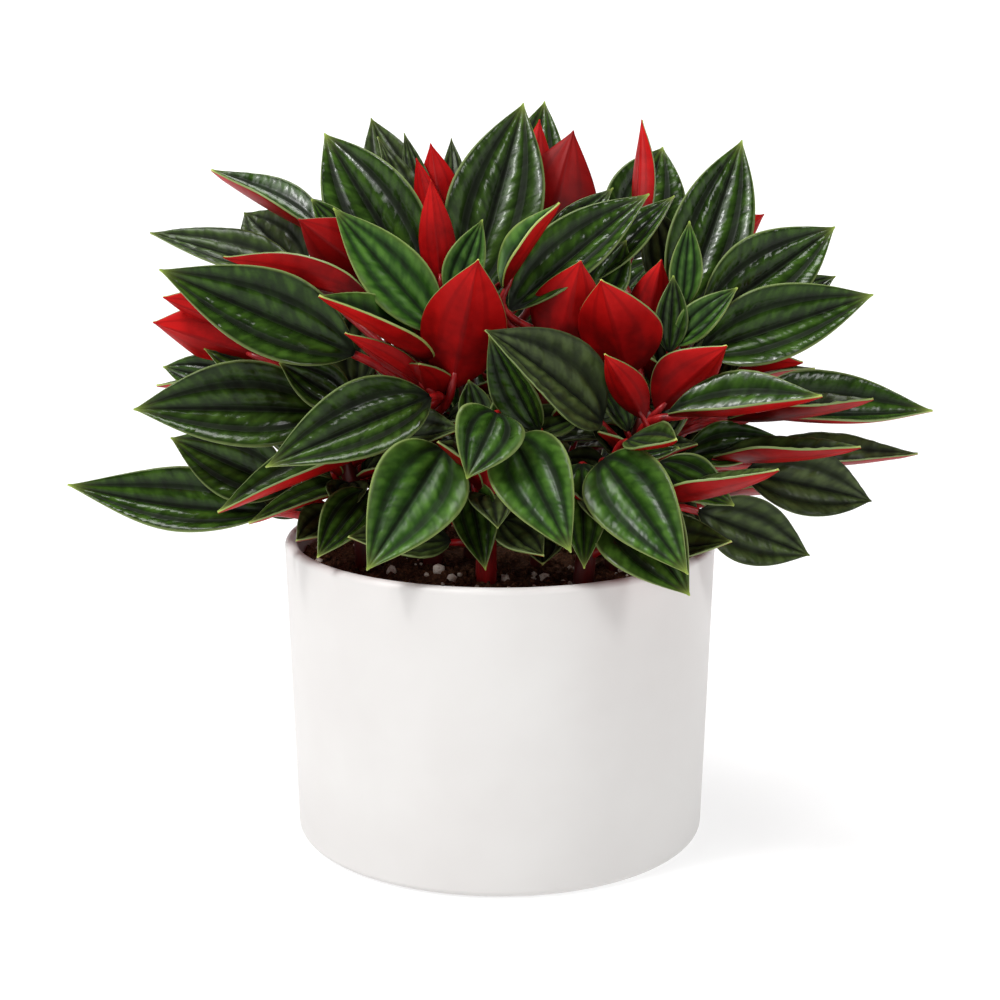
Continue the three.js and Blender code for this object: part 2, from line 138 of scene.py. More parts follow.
# How finely a long and a short blade are divided, and what each of its points keeps for the
# materials
LONG_GRID = (46, 26)
SHORT_GRID = (26, 16)
LONG_GRID_FROM = 30
BLADE_LAYERS = (
    "along",
    "across",
    "rib",
    "young",
    "old",
    "pale",
    "edge",
    "run",
    "span",
    "seed",
)

# The pale parts of a leaf: how pale, then how steeply that grows to the tip and to a young
# leaf's margin, and from where the edge begins
PALE_TIP = (0.8, 26)
PALE_YOUNG_MARGIN = (0.5, 12)
PALE_EDGE = (0.8, 0.99)

# How young (up to 1) or how old (down to -1) a leaf looks, by its number on its stem. The
# others are mature, with a small draw. An old leaf's underside is also painted darker, painted
# shade. A stem is painted from red at 0 to dark at 1, painted shade inside the bush.
LEAF_AGES = {
    "left": {0: -0.6, 1: -0.4, 2: -0.6, 3: -0.8, 5: 0.6, 6: 0.4},
    "crest": {3: -0.5, 4: -0.6, 5: -0.5, 8: -0.7, 13: 0.6},
    "right": {0: -0.8, 7: -0.6, 8: -0.8},
    "shoulder": {2: 0.5, 4: 0.35},
    "middle": {0: -0.9, 1: 0.8},
    "front": {1: 0.35, 2: 0.25, 3: 0.4, 5: 0.1},
    "front_right": {0: -0.6, 3: 0.3, 4: 0.15, 5: 0.15},
}
USUAL_AGE = (-0.12, 0.08)
# Inner leaves are old, which also paints their undersides darker: painted shade
INNER_AGE = (-0.7, -0.3)
# How dark each stem is painted, painted shade inside the bush; the front stem stays red
STEM_PAINTED_SHADE = 0.8
STEM_PAINTED_SHADES = {"front": 0.1}

# Small old leaves in the heart of each stem, which the part's own leaves hide from outside:
# how many, how high up the stem, how far out the base and the tip are, the rise from the
# lowest to the highest one, the width and the facing, each with its draws
HEART_COUNT = 9
HEART_LOWEST = 110
HEART_BELOW_TOP = 14
HEART_TURN = 137.5
HEART_TURN_DRAW = 20
HEART_OUT = 5
HEART_REACH = (19, 25)
HEART_RISE = (-12, 18)
HEART_RISE_DRAW = 3
HEART_WIDTH = (11, 15)
HEART_FACING = 25
HEART_ARCH = 1
# Heart and backing leaves are old, which also paints their undersides darker: painted shade
HEART_AGE = -0.7

# Dark leaves behind the front ones, which close small openings, given as old so that their
# undersides are painted darker, painted shade: the blade's base and tip, its width, facing and
# arch
BACKING_LEAVES = {
    "shoulder": [
        ((51, 7, 162), (46, 13, 189), 17, 20, 0),
        ((53, 6, 134), (47, 10, 160), 17, 20, 0),
        ((54, 4, 108), (60, 8, 134), 17, 20, 0),
        ((63, 4, 132), (71, 8, 154), 15, 20, 0),
    ],
    "low_left": [
        ((-43, 2, 136), (-41, 6, 163), 16, 20, 0),
        ((-56, 4, 99), (-80, 10, 103), 14, 70, 0),
    ],
}

# The leaves' finish and painted shade: sizes in millimetres, shares, and roughnesses from the
# least to the most
MOTTLE_SIZE = 6
PORE_SIZE = 0.9
QUILT_SCALE = 0.36
WRINKLE_SHADE_RANGE = (0.3, 0.68)
WRINKLE_SHADE_SHARE = 0.35
MOTTLE_AND_WRINKLE_SHADE_SHARE = 0.5
WAXY_ROUGHNESS = (0.12, 0.22)
DULL_ROUGHNESS = 0.38
DULL_FROM_AGE = 0.5
GROOVE_ROUGHNESS = 0.9
GROOVE_TO_RIB = (0.3, 0.6)
UNDER_MOTTLE_SIZE = 9
UNDER_BASE_SHADE_SHARE = 0.45
UNDER_VEIN_RANGE = (0.65, 0.3)
UNDER_VEIN_SHARE = 0.35
UNDER_OLD_LEAF_SHADE_SHARE = 0.55

# The studio, in millimetres and degrees. A light is far off: its azimuth, its elevation, how
# wide it looks, and its strength.
FLOOR_DROP = 0.4
SWEEP_RADIUS = 6000
SWEEP_CURVE = 3000
SWEEP_END = -24
SWEEP_ARC_STEPS = 16
SWEEP_STEPS = 96
LIGHTS = {
    "key_left": (212, 52, 36, 2.0),
    "glint_left": (212, 52, 8, 1.1),
    "top": (95, 74, 26, 2.1),
    "fill_right": (-40, 35, 14, 0.8),
}
WORLD_STRENGTH = 0.08

# The photo's camera, fitted to the pot's rim and foot, with its lens in widths of the sensor
SENSOR_WIDTH = 36
CAMERA_LENS = 1.942
CAMERA_ELEVATION = 12.6
CAMERA_DISTANCE = 588
CAMERA_TARGET = (0, 0, 101.7)

# Each stem: where it stands in the soil, its top, and its leaves. A leaf is the base and the
# tip of its blade, its width, how far its upper face looks up (0) or to the front (90), then
# its arch, how far it looks sideways, and how far its two halves are folded up.
STEMS = {
    "left": {
        "foot": (-20, -10),
        "top": (-20, -12, 151),
        "leaves": [
            ((-59, 14, 169), (-80, 39, 185), 20, 60),
            ((-59, 4, 169), (-107, 24, 180), 16, 40),
            ((-37, -20, 165), (-80, -10, 176), 15, -50, -1),
            ((-33, -10, 167), (-58, -11, 187), 22, -85),
            ((-42, -18, 149), (-96, -26, 174), 26, 65, -1),
            ((-17, -19, 155), (-48, -10, 190), 19, 65),
            ((-20, -15, 145), (-50, -38, 168), 20, 24, 0, 0, 0.8),
            ((-20, -20, 139), (-44, -26, 156), 9, -50),
            ((-14, -20, 139), (-6, -38, 178), 25, -90, 0, 0, 0.35),
        ],
    },
    "crest": {
        "foot": (-8, -1),
        "top": (-12, -1, 162),
        "leaves": [
            ((-53, 6, 181), (-88, 26, 199), 18, 8, -1, 0, 0.8),
            ((-44, -4, 179), (-55, -2, 192), 9, 60),
            ((-22, -5, 164), (-53, 23, 210), 28, 80, 2),
            ((-24, 15, 176), (-40, 41, 214), 20, 90),
            ((-18, 5, 173), (-37, 23, 209), 11, 80, 0, 20),
            ((-20, 11, 179), (-29, 25, 210), 9, 90),
            ((-18, 5, 178), (-25, 15, 203), 9, -90),
            ((-16, 11, 181), (-21, 23, 207), 14, -90),
            ((-13, 17, 180), (-15, 35, 208), 9, 90),
            ((-17, -11, 167), (-20, -7, 198), 11, -90),
            ((-9, -5, 164), (7, 19, 219), 29, 85, 2),
            ((7, 25, 179), (14, 49, 219), 20, 90),
            ((8, 13, 179), (12, 27, 214), 15, -90),
            ((-14, -15, 164), (-5, -13, 187), 12, 75),
        ],
    },
    "right": {
        "foot": (34, -16),
        "top": (43, -20, 133),
        "leaves": [
            ((29, -28, 131), (-4, -50, 160), 25, 60, 2, 30),
            ((42, -10, 153), (47, -7, 175), 13, -80),
            ((37, -20, 143), (28, -34, 172), 25, -90, 0, 20, 0.3),
            ((69, -8, 141), (89, -8, 145), 10, -40),
            ((45, -22, 133), (64, -30, 153), 18, -60),
            ((48, -28, 133), (89, -44, 141), 22, 22, -2, 0, 0.75),
            ((72, -8, 130), (131, 6, 128), 26, 30, -2, 0, 0.7),
            ((75, -2, 114), (128, 10, 114), 17, 22, -2, 0, 0.8),
            ((71, -20, 114), (110, -12, 104), 21, 65, 2),
            ((53, -26, 120), (82, -18, 124), 15, 50),
            ((37, -22, 127), (24, -22, 149), 11, 80, 0, 40),
            ((41, -30, 132), (29, -40, 152), 11, -60),
            ((41, -6, 135), (36, 0, 153), 15, 75),
        ],
    },
    "shoulder": {
        "foot": (42, 0),
        "top": (56, -1, 152),
        "leaves": [
            ((38, 18, 172), (51, 45, 205), 26, 85),
            ((53, -2, 157), (73, 22, 208), 25, 80, 2),
            ((53, -10, 161), (55, -6, 186), 10, 80),
            ((49, -15, 149), (50, -13, 171), 10, 80),
            ((51, -15, 151), (68, -18, 168), 11, 50),
            ((65, 12, 175), (80, 20, 186), 12, -80),
            ((59, -10, 157), (100, 10, 183), 25, 70),
            ((80, 0, 159), (101, 12, 168), 10, 60),
            ((58, -16, 149), (107, -18, 166), 23, 65),
        ],
    },
    "middle": {
        "foot": (12, -13),
        "top": (13, -11, 155),
        "leaves": [
            ((12, 3, 173), (22, 19, 211), 28, -90, 0, 0, 0.35),
            ((1, -19, 168), (17, -17, 192), 15, 25, 0, -55, 0.8),
            ((2, -14, 141), (-3, -9, 162), 9, 80),
            ((41, 9, 181), (43, 25, 214), 9, -90, 0, 40),
            ((3, -15, 161), (44, 5, 193), 21, 65, 1, -20),
            ((12, 1, 173), (34, 17, 194), 12, 60),
            ((26, -7, 168), (52, 11, 192), 14, 30),
            ((17, -17, 149), (23, -20, 176), 22, -90, 0, 0, 0.35),
            ((25, -11, 161), (37, -1, 180), 15, 75),
        ],
    },
    "front": {
        "foot": (-4, -30),
        "top": (-2, -34, 127),
        "leaves": [
            ((11, -32, 129), (-3, -42, 158), 14, 60, 0, -30),
            ((4, -40, 128), (19, -70, 103), 23, 80, 3),
            ((-1, -44, 136), (-9, -60, 121), 20, 80, 2),
            ((-16, -36, 124), (-36, -66, 97), 27, 80, 3),
            ((-38, -26, 110), (-51, -48, 96), 15, 60),
            ((-9, -30, 114), (-4, -54, 94), 14, 80),
            ((-6, -24, 129), (-9, -22, 142), 10, 70),
            ((2, -27, 125), (5, -26, 144), 13, 75),
        ],
    },
    "front_right": {
        "foot": (24, -36),
        "top": (32, -34, 119),
        "leaves": [
            ((57, -30, 105), (90, -26, 91), 20, 75),
            ((45, -34, 120), (66, -40, 109), 14, 60),
            ((40, -28, 121), (51, -32, 124), 7, 50),
            ((29, -40, 122), (50, -74, 98), 24, 80, 3),
            ((34, -42, 111), (51, -70, 91), 26, 85, 3),
            ((23, -36, 120), (23, -60, 96), 16, 80, 2),
        ],
    },
    "low_left": {
        "foot": (-40, -14),
        "top": (-50, -12, 127),
        "leaves": [
            ((-80, 0, 155), (-100, 2, 163), 12, -60),
            ((-71, 2, 145), (-104, 6, 155), 22, -70),
            ((-20, -28, 138), (-64, -54, 123), 23, 65, 1),
            ((-29, -20, 124), (-79, -44, 108), 20, 12, 0, 0, 0.8),
            ((-37, -12, 111), (-72, -32, 102), 14, 10),
            ((-52, -8, 130), (-106, -20, 133), 27, 65, 2),
            ((-60, 2, 137), (-89, 6, 147), 17, 60),
            ((-44, -14, 133), (-64, -16, 146), 15, 60),
            ((-78, 5, 136), (-103, 15, 140), 13, 60),
            ((-63, -8, 107), (-98, -6, 122), 22, 70),
            ((-68, -12, 101), (-128, -12, 109), 22, 50, -5),
            ((-46, -4, 118), (-74, 2, 126), 18, 65),
        ],
    },
    "back_left": {"foot": (-34, 26), "top": (-42, 30, 140), "leaves": []},
    "back": {"foot": (4, 40), "top": (4, 40, 150), "leaves": []},
    "back_right": {"foot": (36, 28), "top": (46, 34, 138), "leaves": []},
}

# The far side's tiers of leaves: how many, from which azimuth to which, how far out and how
# high the base and the tip are, and the width
TIERS = [
    (8, 12, 168, 66, 100, 118, 98, 24),
    (7, 20, 160, 58, 120, 112, 134, 25),
    (6, 30, 152, 50, 142, 98, 166, 24),
    (5, 50, 146, 40, 158, 80, 192, 22),
    (4, 35, 145, 26, 116, 54, 140, 15),
]
TIER_STEMS = {"back_left": 155, "back": 90, "back_right": 25}
TIER_DEPTH = 0.9
TIER_ARCH = 3
TIER_AZIMUTH_DRAW = 3
TIER_HEIGHT_DRAW = 5
TIER_REACH_DRAW = (0.92, 1.04)
TIER_WIDTH_DRAW = (0.85, 1.05)

# Leaves that fill the plant out: how far the base and the tip are from the stem, the rise, the
# width and the facing of a kind, then for each stem the kind, its base's height and its azimuth
FLAT_LEAF = (24, 66, 6, 21, 0)
RISING_LEAF = (20, 58, 14, 20, 0)
INNER_LEAF = (12, 44, 5, 18, 40)
SHORT_LEAF = (8, 31, 4, 14, 40)
DROOPING_LEAF = (8, 31, -5, 14, 40)
FILL_ARCH = -2
FILL = {
    "right": [(FLAT_LEAF, 130, 0), (FLAT_LEAF, 120, 340), (SHORT_LEAF, 112, 190)],
    "shoulder": [(FLAT_LEAF, 150, 40)],
    "front": [
        (DROOPING_LEAF, 104, 300),
        (SHORT_LEAF, 128, 30),
        (INNER_LEAF, 98, 210),
        (SHORT_LEAF, 106, 30),
    ],
    "front_right": [(RISING_LEAF, 112, 320), (SHORT_LEAF, 128, 300), (INNER_LEAF, 98, 330)],
    "low_left": [(INNER_LEAF, 125, 330), (DROOPING_LEAF, 104, 240)],
    "crest": [(DROOPING_LEAF, 98, 300)],
    "middle": [(DROOPING_LEAF, 98, 270), (SHORT_LEAF, 130, 0)],
    "back_left": [(FLAT_LEAF, 120, 160), (SHORT_LEAF, 134, 120), (DROOPING_LEAF, 116, 330)],
    "back": [(FLAT_LEAF, 112, 100), (INNER_LEAF, 116, 180)],
    "back_right": [
        (FLAT_LEAF, 120, 60),
        (FLAT_LEAF, 140, 20),
        (INNER_LEAF, 104, 120),
        (DROOPING_LEAF, 122, 210),
    ],
}


class Draw:
    """A small seeded generator, the same one that the part's source draws from."""

    factor = 16807
    span = 2147483647

    def __init__(self, seed):
        self.state = seed

    def between(self, low, high):
        self.state = (self.state * self.factor) % self.span
        return low + (high - low) * self.state / self.span


placing = Draw(PLACING_SEED)
varying = Draw(VARYING_SEED)


def far_side_leaves():
    rows = {name: [] for name in TIER_STEMS}
    for count, start, end, base_out, base_up, tip_out, tip_up, width in TIERS:
        for i in range(count):
            azimuth = start + (end - start) * i / (count - 1)
            azimuth += placing.between(-TIER_AZIMUTH_DRAW, TIER_AZIMUTH_DRAW)
            reach = tip_out * placing.between(*TIER_REACH_DRAW)
            height = tip_up + placing.between(-TIER_HEIGHT_DRAW, TIER_HEIGHT_DRAW)
            leaf_width = width * placing.between(*TIER_WIDTH_DRAW)
            across = math.cos(math.radians(azimuth))
            back = math.sin(math.radians(azimuth)) * TIER_DEPTH
            base = (across * base_out, back * base_out, base_up)
            tip = (across * reach, back * reach, height)
            stem = min(TIER_STEMS, key=lambda name: abs(TIER_STEMS[name] - azimuth))
            rows[stem].append((base, tip, leaf_width, 0, TIER_ARCH))
    return rows


def curve_point(start, bend, end, t):
    return (1 - t) ** 2 * start + 2 * t * (1 - t) * bend + t * t * end


def curve_heading(start, bend, end, t):
    return ((1 - t) * (bend - start) + t * (end - bend)).normalized()


def stem_curve(stem):
    """The three points of the stem's bend, in metres, from the soil up."""
    start = Vector((*stem["foot"], SOIL_TOP)) * MM
    end = Vector(stem["top"]) * MM
    bend = Vector((start.x, start.y, (start.z + end.z) / 2))
    return start, bend, end


def stem_point(stem, height):
    share = min(1, (height - SOIL_TOP) / (stem["top"][2] - SOIL_TOP))
    return curve_point(*stem_curve(stem), share)


def filling_leaves(name):
    rows = []
    for (out, reach, rise, width, facing), height, azimuth in FILL.get(name, []):
        centre = stem_point(STEMS[name], height) / MM
        across = math.cos(math.radians(azimuth))
        back = math.sin(math.radians(azimuth))
        base = (centre.x + across * out, centre.y + back * out, height)
        tip = (centre.x + across * reach, centre.y + back * reach, height + rise)
        rows.append((base, tip, width, facing, FILL_ARCH))
    return rows


def heart_leaves(name):
    """Small leaves up the stem and round it by the golden angle, drooping low down only."""
    stem = STEMS[name]
    highest = stem["top"][2] - HEART_BELOW_TOP
    rows = []
    droop, rise = HEART_RISE
    for k in range(HEART_COUNT):
        share = k / (HEART_COUNT - 1)
        height = HEART_LOWEST + (highest - HEART_LOWEST) * share
        swing = varying.between(-HEART_TURN_DRAW, HEART_TURN_DRAW)
        azimuth = math.radians(HEART_TURN * k + swing)
        centre = stem_point(stem, height) / MM
        away = Vector((math.cos(azimuth), math.sin(azimuth), 0))
        base = centre + away * HEART_OUT
        tip = centre + away * varying.between(*HEART_REACH)
        tip.z += droop + (rise - droop) * share
        tip.z += varying.between(-HEART_RISE_DRAW, HEART_RISE_DRAW)
        width = varying.between(*HEART_WIDTH)
        rows.append((tuple(base), tuple(tip), width, HEART_FACING, HEART_ARCH))
    return rows


def stalk_root(stem, base):
    """Where a leaf's stalk leaves its stem: below the blade's base, lower for a longer stalk."""
    top_x, top_y, top_z = stem["top"]
    reach = math.hypot(base[0] - top_x, base[1] - top_y)
    below = base[2] - STALK_SLOPE * reach - STALK_DROP
    height = min(top_z - STALK_BELOW_TOP, max(SOIL_TOP + LOWEST_STALK, below))
    return stem_point(stem, height)


# Materials


def linear(hex_colour):
    """An sRGB hex colour as the linear RGBA that a shader takes."""
    values = [int(hex_colour[i : i + 2], 16) / 255 for i in (1, 3, 5)]
    return (*[v / 12.92 if v <= 0.04045 else ((v + 0.055) / 1.055) ** 2.4 for v in values], 1)


def set_inputs(material, node, inputs):
    """Gives each named input of a node its value, or its link where an output is given."""
    for socket, value in inputs.items():
        if isinstance(value, bpy.types.NodeSocket):
            material.node_tree.links.new(value, node.inputs[socket])
        else:
            node.inputs[socket].default_value = value


def add_node(material, kind, inputs=None, stops=(), **settings):
    """Adds a shader node with its settings, its inputs and, for a colour ramp, its stops."""
    node = material.node_tree.nodes.new(kind)
    for name, value in settings.items():
        setattr(node, name, value)
    set_inputs(material, node, inputs or {})
    for index, (place, colour) in enumerate(stops):
        if index > 1:
            node.color_ramp.elements.new(place)
        node.color_ramp.elements[index].position = place
        node.color_ramp.elements[index].color = linear(colour)
    return node


def new_material(name):
    material = bpy.data.materials.new(name)
    material.use_nodes = True
    return material


def set_surface(material, **inputs):
    """Sets the inputs of the material's own shader. Their names have _ for a space."""
    surface = material.node_tree.nodes["Principled BSDF"]
    set_inputs(material, surface, {name.replace("_", " "): inputs[name] for name in inputs})


def grain_of(size_mm):
    """The scale of a texture on Object coordinates whose features are of this size."""
    return 1 / (size_mm * MM)


# Living leaf, upper side: a waxy cuticle over deep green, so a bright gloss on the raised ribs
# that fine slanted wrinkles break up. The sunken veins are darker, partly their own deeper green
# and partly painted shade in the grooves, and without gloss. The green also follows the
# wrinkles: painted light and shade on them. Young leaves are lighter and pale at the margin, old
# ones are olive, and both are less glossy.
def leaf_upper_material():
    material = new_material("waxy leaf upper side")
    place = add_node(material, "ShaderNodeTexCoord").outputs["Object"]
    read = {
        name: add_node(material, "ShaderNodeAttribute", attribute_name=name).outputs["Fac"]
        for name in ("rib", "young", "old", "pale", "edge", "run", "span", "seed")
    }
    mottled = add_node(
        material,
        "ShaderNodeTexNoise",
        {"Vector": place, "Scale": grain_of(MOTTLE_SIZE), "Detail": 3, "Roughness": 0.6},
    ).outputs["Fac"]
    on_blade = add_node(
        material, "ShaderNodeCombineXYZ", {0: read["run"], 1: read["span"], 2: read["seed"]}
    ).outputs[0]
    wrinkles = add_node(
        material, "ShaderNodeTexNoise", {"Vector": on_blade, "Scale": QUILT_SCALE, "Detail": 1}
    ).outputs["Fac"]
    # The wrinkles' noise also sets the green: painted light and shade on the wrinkles
    wrinkle_shade = add_node(
        material,
        "ShaderNodeMapRange",
        {"Value": wrinkles, "From Min": WRINKLE_SHADE_RANGE[0], "From Max": WRINKLE_SHADE_RANGE[1]},
    ).outputs[0]
    # Random mottling, mixed with the painted light and shade of the wrinkles
    mottle_and_wrinkle_shade = add_node(
        material, "ShaderNodeMix", {0: WRINKLE_SHADE_SHARE, 2: mottled, 3: wrinkle_shade}
    ).outputs[0]
    # Darker where rib is low: partly the veins' own deeper green, partly painted shade in the
    # grooves
    shade = add_node(
        material, "ShaderNodeMix", {0: MOTTLE_AND_WRINKLE_SHADE_SHARE, 2: read["rib"], 3: mottle_and_wrinkle_shade}
    ).outputs[0]
    mature = add_node(
        material,
        "ShaderNodeValToRGB",
        {0: shade},
        ((0.25, "#060a02"), (0.5, "#121e08"), (0.68, "#20340e"), (0.85, "#365219")),
    ).outputs[0]
    young = add_node(
        material,
        "ShaderNodeValToRGB",
        {0: shade},
        ((0.35, "#112607"), (0.62, "#284f14"), (0.84, "#507c2d")),
    ).outputs[0]
    old = add_node(
        material,
        "ShaderNodeValToRGB",
        {0: shade},
        ((0.3, "#10150a"), (0.6, "#293218"), (0.85, "#4d5932")),
    ).outputs[0]
    colour = mature
    for share, other in (
        (read["young"], young),
        (read["old"], old),
        (read["pale"], linear("#9db352")),
        (read["edge"], linear("#788a4e")),
    ):
        colour = add_node(
            material, "ShaderNodeMix", {0: share, 6: colour, 7: other}, data_type="RGBA"
        ).outputs[2]
    waxy = add_node(
        material,
        "ShaderNodeMapRange",
        {"Value": mottled, "To Min": WAXY_ROUGHNESS[0], "To Max": WAXY_ROUGHNESS[1]},
    ).outputs[0]
    age_and_shade = add_node(
        material, "ShaderNodeMath", {0: read["old"], 1: read["young"]}, operation="MAXIMUM"
    ).outputs[0]
    dull = add_node(
        material, "ShaderNodeMapRange", {"Value": age_and_shade, "From Max": DULL_FROM_AGE}
    ).outputs[0]
    crown = add_node(
        material, "ShaderNodeMix", {0: dull, 2: waxy, 3: DULL_ROUGHNESS}
    ).outputs[0]
    on_rib = add_node(
        material,
        "ShaderNodeMapRange",
        {"Value": read["rib"], "From Min": GROOVE_TO_RIB[0], "From Max": GROOVE_TO_RIB[1]},
    ).outputs[0]
    roughness = add_node(
        material, "ShaderNodeMix", {0: on_rib, 2: GROOVE_ROUGHNESS, 3: crown}
    ).outputs[0]
    pores = add_node(
        material,
        "ShaderNodeTexNoise",
        {"Vector": place, "Scale": grain_of(PORE_SIZE), "Detail": 2},
    ).outputs["Fac"]
    normal = add_node(
        material, "ShaderNodeBump", {"Height": pores, "Strength": 0.12, "Distance": 0.1 * MM}
    ).outputs[0]
    normal = add_node(
        material,
        "ShaderNodeBump",
        {"Height": wrinkles, "Strength": 0.35, "Distance": 0.8 * MM, "Normal": normal},
    ).outputs[0]
    set_surface(
        material,
        Base_Color=colour,
        Roughness=roughness,
        Normal=normal,
        Specular_IOR_Level=0.18,
    )
    return material


# Living leaf, underside: smooth and bright red, as its red pigment makes it, a little deeper
# in patches and along the veins, with a soft gloss. It is painted darker towards the stalk and
# on leaves given as old, mostly those inside the bush: painted shade.
def leaf_under_material():
    material = new_material("smooth red leaf underside")
    place = add_node(material, "ShaderNodeTexCoord").outputs["Object"]
    mottled = add_node(
        material,
        "ShaderNodeTexNoise",
        {"Vector": place, "Scale": grain_of(UNDER_MOTTLE_SIZE), "Detail": 3, "Roughness": 0.6},
    ).outputs["Fac"]
    read = {
        name: add_node(material, "ShaderNodeAttribute", attribute_name=name).outputs["Fac"]
        for name in ("along", "rib", "old")
    }
    # Darker towards the stalk, where the blade's base sits deep in the bush: painted shade
    shade = add_node(
        material, "ShaderNodeMix", {0: UNDER_BASE_SHADE_SHARE, 2: mottled, 3: read["along"]}
    ).outputs[0]
    red = add_node(
        material,
        "ShaderNodeValToRGB",
        {0: shade},
        ((0.3, "#560405"), (0.5, "#980a0b"), (0.72, "#ba1413")),
    ).outputs[0]
    rib_side, vein_side = UNDER_VEIN_RANGE
    vein = add_node(
        material,
        "ShaderNodeMapRange",
        {
            "Value": read["rib"],
            "From Min": rib_side,
            "From Max": vein_side,
            "To Max": UNDER_VEIN_SHARE,
        },
    ).outputs[0]
    # Darker on leaves given as old: painted shade
    age_and_shade = add_node(
        material, "ShaderNodeMapRange", {"Value": read["old"], "To Max": UNDER_OLD_LEAF_SHADE_SHARE}
    ).outputs[0]
    for share, darker in ((vein, linear("#5c0709")), (age_and_shade, linear("#1e0203"))):
        red = add_node(
            material, "ShaderNodeMix", {0: share, 6: red, 7: darker}, data_type="RGBA"
        ).outputs[2]
    normal = add_node(
        material, "ShaderNodeBump", {"Height": mottled, "Strength": 0.3, "Distance": 0.6 * MM}
    ).outputs[0]
    set_surface(
        material, Base_Color=red, Roughness=0.42, Normal=normal, Specular_IOR_Level=0.08
    )
    return material


# Leaf margin: the thin pale line where the two sides meet, yellow-green at the tip.
def leaf_margin_material():
    material = new_material("pale leaf margin")
    pale = add_node(material, "ShaderNodeAttribute", attribute_name="pale").outputs["Fac"]
    colour = add_node(
        material, "ShaderNodeValToRGB", {0: pale}, ((0.0, "#6c7d45"), (0.6, "#aab658"))
    ).outputs[0]
    set_surface(material, Base_Color=colour, Roughness=0.45)
    return material


# Leaf stalk and stem: fleshy and red, with a soft gloss and faint streaks along it. Where its
# old value is set, the stem is painted dark: painted shade for the stems inside the bush.
def stalk_material():
    material = new_material("fleshy red stalk")
    place = add_node(material, "ShaderNodeTexCoord").outputs["Object"]
    drawn_out = add_node(material, "ShaderNodeMapping", {"Vector": place, "Scale": (1, 1, 0.25)})
    tint = add_node(
        material,
        "ShaderNodeTexNoise",
        {"Vector": drawn_out.outputs[0], "Scale": grain_of(2.4), "Detail": 3},
    ).outputs["Fac"]
    red = add_node(
        material,
        "ShaderNodeValToRGB",
        {0: tint},
        ((0.3, "#6c0a0c"), (0.55, "#9c1114"), (0.8, "#b92624")),
    ).outputs[0]
    # Only the stems carry an old value here: painted shade
    old = add_node(material, "ShaderNodeAttribute", attribute_name="old").outputs["Fac"]
    red = add_node(
        material, "ShaderNodeMix", {0: old, 6: red, 7: linear("#2a100b")}, data_type="RGBA"
    ).outputs[2]
    normal = add_node(
        material, "ShaderNodeBump", {"Height": tint, "Strength": 0.3, "Distance": 0.3 * MM}
    ).outputs[0]
    set_surface(material, Base_Color=red, Roughness=0.35, Normal=normal, IOR=1.42)
    return material


# Glazed stoneware: satin white glaze, fired, faintly uneven in tone and gloss.
def glaze_material():
    material = new_material("satin white glazed stoneware")
    place = add_node(material, "ShaderNodeTexCoord").outputs["Object"]
    cloud = add_node(
        material, "ShaderNodeTexNoise", {"Vector": place, "Scale": grain_of(40), "Detail": 3}
    ).outputs["Fac"]
    white = add_node(
        material, "ShaderNodeValToRGB", {0: cloud}, ((0.3, "#cac7c5"), (0.7, "#d0cecc"))
    ).outputs[0]
    sheen = add_node(
        material, "ShaderNodeMapRange", {"Value": cloud, "To Min": 0.36, "To Max": 0.5}
    ).outputs[0]
    ripple = add_node(
        material, "ShaderNodeTexNoise", {"Vector": place, "Scale": grain_of(4), "Detail": 2}
    ).outputs["Fac"]
    normal = add_node(
        material, "ShaderNodeBump", {"Height": ripple, "Strength": 0.1, "Distance": 0.1 * MM}
    ).outputs[0]
    set_surface(material, Base_Color=white, Roughness=sheen, Normal=normal, IOR=1.5)
    return material


# Potting mix: moist peat and bark, crumbly and matte, dark brown with lighter fibres.
def soil_material():
    material = new_material("moist peat potting mix")
    place = add_node(material, "ShaderNodeTexCoord").outputs["Object"]
    crumbs = add_node(
        material,
        "ShaderNodeTexNoise",
        {"Vector": place, "Scale": grain_of(1.1), "Detail": 4, "Roughness": 0.7},
    ).outputs["Fac"]
    brown = add_node(
        material,
        "ShaderNodeValToRGB",
        {0: crumbs},
        ((0.3, "#28180f"), (0.5, "#4e3323"), (0.64, "#7a533b"), (0.8, "#9e7656")),
    ).outputs[0]
    normal = add_node(
        material, "ShaderNodeBump", {"Height": crumbs, "Strength": 0.9, "Distance": 1.0 * MM}
    ).outputs[0]
    set_surface(
        material, Base_Color=brown, Roughness=0.92, Normal=normal, Specular_IOR_Level=0.1
    )
    return material


# Perlite: puffed volcanic glass, off-white, rough and pitted.
def perlite_material():
    material = new_material("off-white perlite")
    place = add_node(material, "ShaderNodeTexCoord").outputs["Object"]
    pits = add_node(
        material,
        "ShaderNodeTexNoise",
        {"Vector": place, "Scale": grain_of(0.7), "Detail": 3, "Roughness": 0.6},
    ).outputs["Fac"]
    pale = add_node(
        material,
        "ShaderNodeValToRGB",
        {0: pits},
        ((0.3, "#a8937e"), (0.48, "#ddd2c4"), (0.75, "#f4efe8")),
    ).outputs[0]
    normal = add_node(
        material, "ShaderNodeBump", {"Height": pits, "Strength": 0.8, "Distance": 0.4 * MM}
    ).outputs[0]
    set_surface(material, Base_Color=pale, Roughness=0.85, Normal=normal)
    return material


# Studio sweep: matte white paint, near the photo's background.
def sweep_material():
    material = new_material("matte white studio sweep")
    set_surface(
        material,
        Base_Color=linear("#9a9a9a"),
        Roughness=0.95,
        Specular_IOR_Level=0.1,
        Emission_Color=linear("#ffffff"),
        Emission_Strength=0.72,
    )
    return material


UPPER, UNDER, MARGIN, STALK = range(4)
foliage_materials = [
    leaf_upper_material(),
    leaf_under_material(),
    leaf_margin_material(),
    stalk_material(),
]


# Shapes


